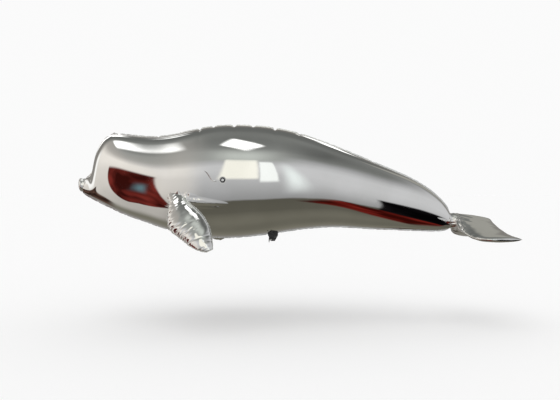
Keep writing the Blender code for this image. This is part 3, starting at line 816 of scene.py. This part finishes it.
def make_foam():
    """The saddle's foam pad: its packed form with soft edges and an uneven skin."""
    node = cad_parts["pod_saddle"]
    rough = placed(node.data.copy())
    rough.matrix_world = node.matrix_world
    remesh = rough.modifiers.new("remesh", "REMESH")
    remesh.mode, remesh.voxel_size = "VOXEL", FOAM_PITCH
    smooth = rough.modifiers.new("smooth", "SMOOTH")
    smooth.factor, smooth.iterations = 0.5, 5
    result = rough.evaluated_get(bpy.context.evaluated_depsgraph_get())
    mesh = bpy.data.meshes.new_from_object(result)
    mesh.transform(node.matrix_world)
    bpy.data.objects.remove(rough)
    mesh.name = "foam_pad"
    mesh.materials.clear()
    for vertex in mesh.vertices:
        vertex.co += vertex.normal * FOAM_UNEVEN * noise.noise(vertex.co / FOAM_BLOTCH)
    mesh.shade_smooth()
    piece(mesh, "black_foam", replaces="pod_saddle")


def make_screws():
    """Two case screws on each long side of the hull."""
    low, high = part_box("pod_hull")
    head = [(share * SCREW_R, up) for share, up in SCREW_HEAD]
    meshes = []
    for side in (-1, 1):
        for x in (low[0] + SCREW_IN, high[0] - SCREW_IN):
            centre = (x, side * (high[1] - SCREW_SUNK), high[2] - SCREW_DOWN)
            meshes.append(turned("screw", head, centre, (0, side, 0), 24))
    piece(joined("hull_screws", meshes), "bright_steel")


def blade_grid(side, half_turn, stations=24, around=20):
    """One twisted blade, which stands on the hub."""
    rows = spline(BLADE_ROWS, stations)
    radius, chord, twist = (rows[:, k:k + 1] for k in range(3))
    angle = 2 * pi * np.arange(around)[None] / around
    swell = np.where(np.sin(angle) > 0, 0.62, 0.38) * np.sin(angle)
    thick = BLADE_THICK * np.minimum(1, chord / 0.008) * (swell + 0.25 * np.sin(angle) ** 2)
    across = chord / 2 * np.cos(angle)
    lean = np.radians(90.0 - twist) * side
    x = across * np.cos(lean) - thick * np.sin(lean)
    y = across * np.sin(lean) + thick * np.cos(lean)
    return np.stack([x, half_turn * y, half_turn * (radius + 0 * x)], axis=2)


def make_drive():
    """The motors' sleeves, and the propellers with their hubs."""
    shaft_low, shaft_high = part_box("tilt_shaft")
    z = (shaft_low[2] + shaft_high[2]) / 2
    for side, name in SIDES:
        motor_low, motor_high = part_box(f"motor_{name}")
        prop_low, prop_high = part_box(f"propeller_{name}")
        y = (motor_low[1] + motor_high[1]) / 2
        radius = (motor_high[1] - motor_low[1]) / 2 + SLEEVE_THICK
        sleeve = [(radius + step, along) for step, along in SLEEVE_ROWS]
        back = (motor_high[0] - SLEEVE_LONG, y, z)
        mesh = turned(f"motor_sleeve_{name}", sleeve, back, (1, 0, 0), 40)
        piece(mesh, "black_plastic", body="tilt_drive")
        front, long = prop_low[0], prop_high[0] - prop_low[0]
        spinner = [(HUB_R * sin(a), SPINNER_LONG * (1 - cos(a))) for a in SPINNER_ANGLES]
        spinner += [(HUB_R, long - 0.0006), (HUB_R - 0.0005, long)]
        hub = turned(f"hub_{name}", spinner, (front, y, z), (1, 0, 0), 32)
        centre = np.array([front + long / 2 + BLADE_BACK, y, z])
        blades = [
            grid_mesh(f"blade_{name}", centre + blade_grid(side, half_turn), closed=True)
            for half_turn in (1, -1)
        ]
        mesh = joined(f"rotor_{name}", [hub, *blades])
        piece(mesh, "black_plastic", replaces=f"propeller_{name}", body=f"prop_{name}")


# Finishes

MIX_A, MIX_B, MIX_RESULT = 6, 7, 2      # a Mix node's colour sockets


class Nodes:
    """A node tree that is put together node by node."""

    def __init__(self, tree):
        self.tree = tree

    def node(self, kind, inputs=(), **settings):
        """A new node. An input is a value or the socket that it is linked to."""
        made = self.tree.nodes.new(kind)
        for name, value in settings.items():
            setattr(made, name, value)
        for name, value in dict(inputs).items():
            socket = made.inputs[name]
            if isinstance(value, bpy.types.NodeSocket):
                self.tree.links.new(value, socket)
            else:
                socket.default_value = (*value, 1) if socket.type == "RGBA" else value
        return made

    def fit(self, source, low, high, first=0, second=1, easing="SMOOTHSTEP"):
        """The source's range low to high, eased to the range first to second."""
        inputs = {"Value": source, "From Min": low, "From Max": high, "To Min": first, "To Max": second}
        return self.node("ShaderNodeMapRange", inputs, interpolation_type=easing).outputs[0]

    def blend(self, factor, first, second):
        """The first colour where the factor is 0 and the second where it is 1."""
        inputs = {"Factor": factor, MIX_A: first, MIX_B: second}
        return self.node("ShaderNodeMix", inputs, data_type="RGBA").outputs[MIX_RESULT]

    def product(self, first, second):
        return self.node("ShaderNodeMath", {0: first, 1: second}, operation="MULTIPLY").outputs[0]


class Finish(Nodes):
    """A Principled material. Distances are metres in the model."""

    def __init__(self, name, roughness, metallic=0.0):
        FINISHES[name] = material = bpy.data.materials.new(name)
        material.use_nodes = True
        super().__init__(material.node_tree)
        self.shader = self.tree.nodes["Principled BSDF"]
        self.shader.inputs["Metallic"].default_value = metallic
        self.shader.inputs["Roughness"].default_value = roughness
        self.place = self.node("ShaderNodeTexCoord").outputs["Object"]

    def noise(self, pitch, detail=3.0, rough=0.5, stretch=(1, 1, 1)):
        """Noise whose blotches are about pitch metres across, longer by stretch along each axis."""
        scale = [1 / (pitch * k) for k in stretch]
        place = self.node("ShaderNodeMapping", {"Vector": self.place, "Scale": scale}).outputs[0]
        inputs = {"Vector": place, "Scale": 1.0, "Detail": detail, "Roughness": rough}
        return self.node("ShaderNodeTexNoise", inputs).outputs[0]

    def link(self, source, name):
        self.tree.links.new(source, self.shader.inputs[name])

    def tint(self, source, low, high, first, second):
        """Takes the colour from first to second over the source's range low to high."""
        self.link(self.blend(self.fit(source, low, high), first, second), "Base Color")

    def haze(self, source, low, high, first, second):
        """Takes the roughness from first to second over the source's range low to high."""
        self.link(self.fit(source, low, high, first, second), "Roughness")

    def relief(self, *terms):
        """Bumps, as the sum of sources, each given with its height in metres."""
        total = 0.0
        for source, height in terms:
            inputs = {0: total, 1: self.product(source, height)}
            total = self.node("ShaderNodeMath", inputs, operation="ADD").outputs[0]
        bump = self.node("ShaderNodeBump", {"Height": total, "Distance": 1.0, "Strength": 1.0})
        self.link(bump.outputs[0], "Normal")


def mirror_film():
    """Aluminised film: nearly clear reflections, faint haze and stretch marks, and fine creases
    where the mesh says that it is puckered."""
    finish = Finish("mirror_film", 0.05, 1.0)
    finish.tint(finish.noise(0.35, 4), 0.35, 0.65, (0.8, 0.8, 0.79), (0.85, 0.85, 0.845))
    finish.haze(finish.noise(0.12, 6, 0.65), 0.45, 0.75, 0.03, 0.085)
    pucker = finish.node("ShaderNodeAttribute", attribute_name="pucker").outputs["Fac"]
    swell = finish.noise(0.09, 2, 0.4, stretch=(1.6, 1, 1))
    creased = finish.product(finish.noise(0.028, 1.5, 0.45), pucker)
    finish.relief((swell, 0.0003), (creased, 0.0007), (finish.noise(0.0016, 2), 0.000002))


def film_flange():
    """The pressed weld where two films meet: duller, with the weld bar's small diamonds."""
    finish = Finish("film_flange", 0.25, 1.0)
    finish.tint(finish.noise(0.02, 4), 0.35, 0.65, (0.7, 0.7, 0.69), (0.82, 0.82, 0.81))
    finish.haze(finish.noise(0.01, 3), 0.3, 0.7, 0.16, 0.34)
    bars = []
    for lean in (radians(45), radians(-45)):
        turn = finish.node("ShaderNodeMapping", {"Vector": finish.place, "Rotation": (0, lean, 0)})
        wave = finish.node("ShaderNodeTexWave", {"Vector": turn.outputs[0], "Scale": 130.0})
        bars.append(wave.outputs["Fac"])
    finish.relief((finish.product(*bars), 0.00016), (finish.noise(0.006, 3), 0.0004))


def moulded_plastic(name, dark, light, gloss):
    """Moulded plastic: fine spark-eroded grain, faint scuffs and dust."""
    finish = Finish(name, gloss)
    finish.tint(finish.noise(0.012, 5, 0.6), 0.42, 0.72, dark, light)
    finish.haze(finish.noise(0.006, 4, 0.6), 0.3, 0.7, gloss - 0.08, gloss + 0.14)
    finish.relief((finish.noise(0.00045, 2), 0.000022), (finish.noise(0.01, 2), 0.00008))


def black_foam():
    """Closed-cell foam: round cells, with painted crumbs of light that make the colour lighter towards their
    rims.
    """
    finish = Finish("black_foam", 0.92)
    cells = finish.node("ShaderNodeTexVoronoi", {"Vector": finish.place, "Scale": 900.0}).outputs["Distance"]
    # Painted highlight: the colour runs from near black to lighter towards the rims of the cells.
    finish.tint(cells, 0.25, 0.65, (0.014, 0.014, 0.015), (0.05, 0.05, 0.052))
    finish.haze(finish.noise(0.004, 3), 0.3, 0.7, 0.85, 0.98)
    finish.relief((cells, 0.0003), (finish.noise(0.006, 3), 0.0004))


def bright_steel():
    """Drawn steel: fine lines round the turned parts and a little tarnish."""
    finish = Finish("bright_steel", 0.28, 1.0)
    finish.tint(finish.noise(0.007, 5, 0.6), 0.4, 0.7, (0.62, 0.62, 0.61), (0.46, 0.45, 0.43))
    drawn = finish.noise(0.0004, 2, stretch=(1, 12, 12))
    finish.haze(drawn, 0.3, 0.7, 0.2, 0.4)
    finish.relief((drawn, 0.000012))


def clear_plastic():
    """Milky clear plug: mould lines and a faint cloud."""
    finish = Finish("clear_plastic", 0.22)
    finish.shader.inputs["Transmission Weight"].default_value = 0.35
    finish.tint(finish.noise(0.006, 4), 0.35, 0.7, (0.74, 0.75, 0.74), (0.86, 0.86, 0.84))
    finish.haze(finish.noise(0.003, 3), 0.3, 0.7, 0.16, 0.32)
    finish.relief((finish.noise(0.0015, 2), 0.00003))


def dress_nodes():
    """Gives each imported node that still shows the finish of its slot."""
    for slot, names in KEPT_NODES.items():
        for name in names:
            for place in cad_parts[name].material_slots:
                place.material = FINISHES[slot]


# Studio

def make_world():
    """Even white light, and for reflections a plain room: pale walls on the near side and at
    both ends, a darker far side, a grey ceiling and a dark floor."""
    world = bpy.data.worlds.new("studio")
    bpy.context.scene.world = world
    world.use_nodes = True
    nodes = Nodes(world.node_tree)
    place = nodes.node("ShaderNodeTexCoord").outputs["Generated"]
    x, y, z = nodes.node("ShaderNodeSeparateXYZ", {0: place}).outputs
    level = nodes.fit(z, -1, 1, easing="LINEAR")

    def ramp(wall):
        made = nodes.node("ShaderNodeValToRGB", {0: level})
        stops = made.color_ramp.elements
        rows = [(tint, *row) for tint, *heights in wall for row in heights]
        while len(stops) < len(rows):
            stops.new(0.5)
        for stop, (tint, height, bright) in zip(stops, rows):
            stop.position = (height + 1) / 2
            stop.color = (*(bright * part for part in tint), 1)
        return made.outputs["Color"]

    room = ramp(ROOM_NEAR)
    for axis, turn, wall in ((x, NOSE_TURN, ROOM_NOSE), (x, TAIL_TURN, ROOM_TAIL), (y, FAR_TURN, ROOM_FAR)):
        room = nodes.blend(nodes.fit(axis, *turn), room, ramp(wall))
    ray = nodes.node("ShaderNodeLightPath").outputs
    sight = nodes.blend(ray["Is Camera Ray"], (SKY,) * 3, (BACKDROP,) * 3)
    shown = nodes.blend(ray["Is Glossy Ray"], sight, room)
    nodes.tree.links.new(shown, nodes.tree.nodes["Background"].inputs["Color"])


def make_camera():
    camera = placed(bpy.data.cameras.new("camera"))
    dip = atan((IMAGE[1] / 2 - HORIZON_PX) * PIXEL / CAMERA_AWAY)
    camera.location = CAMERA_AT
    camera.rotation_euler = (pi / 2 - dip, 0, 0)
    camera.data.sensor_width = SENSOR
    camera.data.lens = SENSOR * CAMERA_AWAY / (IMAGE[0] * PIXEL)
    bpy.context.scene.camera = camera


def quad(name, corners):
    """A mesh of one face."""
    mesh = bpy.data.meshes.new(name)
    mesh.from_pydata(corners, [], [(0, 1, 2, 3)])
    return mesh


def make_floor():
    corners = [(x * FLOOR_HALF, y * FLOOR_HALF, FLOOR_Z) for x, y in QUAD]
    floor = placed(quad("floor", corners))
    finish = Finish("floor", 0.9)
    finish.shader.inputs["Base Color"].default_value = (*(FLOOR_SHADE,) * 3, 1)
    finish.shader.inputs["Specular IOR Level"].default_value = 0.0
    floor.data.materials.append(FINISHES["floor"])
    floor.visible_glossy = False


def make_sun():
    """Soft light from above and the camera's side, which the film doesn't show."""
    light = bpy.data.lights.new("soft_sun", "SUN")
    light.energy = SUN
    light.angle = SUN_SPREAD
    sun = placed(light)
    sun.rotation_euler = (pi / 2 - SUN_UP, 0, SUN_TURN)
    sun.visible_glossy = False


def make_panels():
    """Soft-edged lamps, softboxes and dark flags, which only reflections show."""
    for name, centre, across, high, colour, edge in PANELS:
        centre, across, high = np.array([centre, across, high])
        corners = [tuple(centre + a * across / 2 + b * high / 2) for a, b in QUAD]
        panel = placed(quad(name, corners))
        layer = panel.data.uv_layers.new(name="panel")
        for loop, (a, b) in zip(layer.data, QUAD):
            loop.uv = (a + 1) / 2, (b + 1) / 2
        panel.data.materials.append(panel_finish(name, colour, edge))
        for kind in ("camera", "diffuse", "transmission", "shadow", "volume_scatter"):
            setattr(panel, f"visible_{kind}", False)


def panel_finish(name, colour, edge):
    """Glows in its colour, a dark flag with patches of more and less, and fades to nothing
    towards its border."""
    material = bpy.data.materials.new(name)
    material.use_nodes = True
    nodes = Nodes(material.node_tree)
    nodes.tree.nodes.clear()
    place = nodes.node("ShaderNodeTexCoord").outputs["UV"]
    x, y, _ = nodes.node("ShaderNodeSeparateXYZ", {0: place}).outputs
    share = 1.0
    for axis in (x, y):
        for border, inside in ((0, edge), (1, 1 - edge)):
            share = nodes.product(share, nodes.fit(axis, border, inside))
    look = {"Color": colour}
    if name.startswith("flag"):
        patches = nodes.node("ShaderNodeTexNoise", {"Vector": place, "Scale": PATCH_SCALE}).outputs[0]
        look["Strength"] = nodes.fit(patches, *PATCH_RANGE, easing="LINEAR")
    glow = nodes.node("ShaderNodeEmission", look).outputs[0]
    clear = nodes.node("ShaderNodeBsdfTransparent").outputs[0]
    mixed = nodes.node("ShaderNodeMixShader", {0: share, 1: clear, 2: glow}).outputs[0]
    nodes.node("ShaderNodeOutputMaterial", {"Surface": mixed})
    return material


mirror_film()
film_flange()
moulded_plastic("black_plastic", (0.016, 0.016, 0.018), (0.045, 0.045, 0.047), 0.36)
moulded_plastic("grey_plastic", (0.11, 0.11, 0.115), (0.2, 0.2, 0.205), 0.34)
black_foam()
bright_steel()
clear_plastic()
make_ends(make_body())
make_root_relief()
make_flippers()
make_flukes()
make_valve()
make_foam()
make_screws()
make_drive()
dress_nodes()
make_world()
make_camera()
make_floor()
make_sun()
make_panels()
bpy.context.scene.view_settings.view_transform = "Standard"
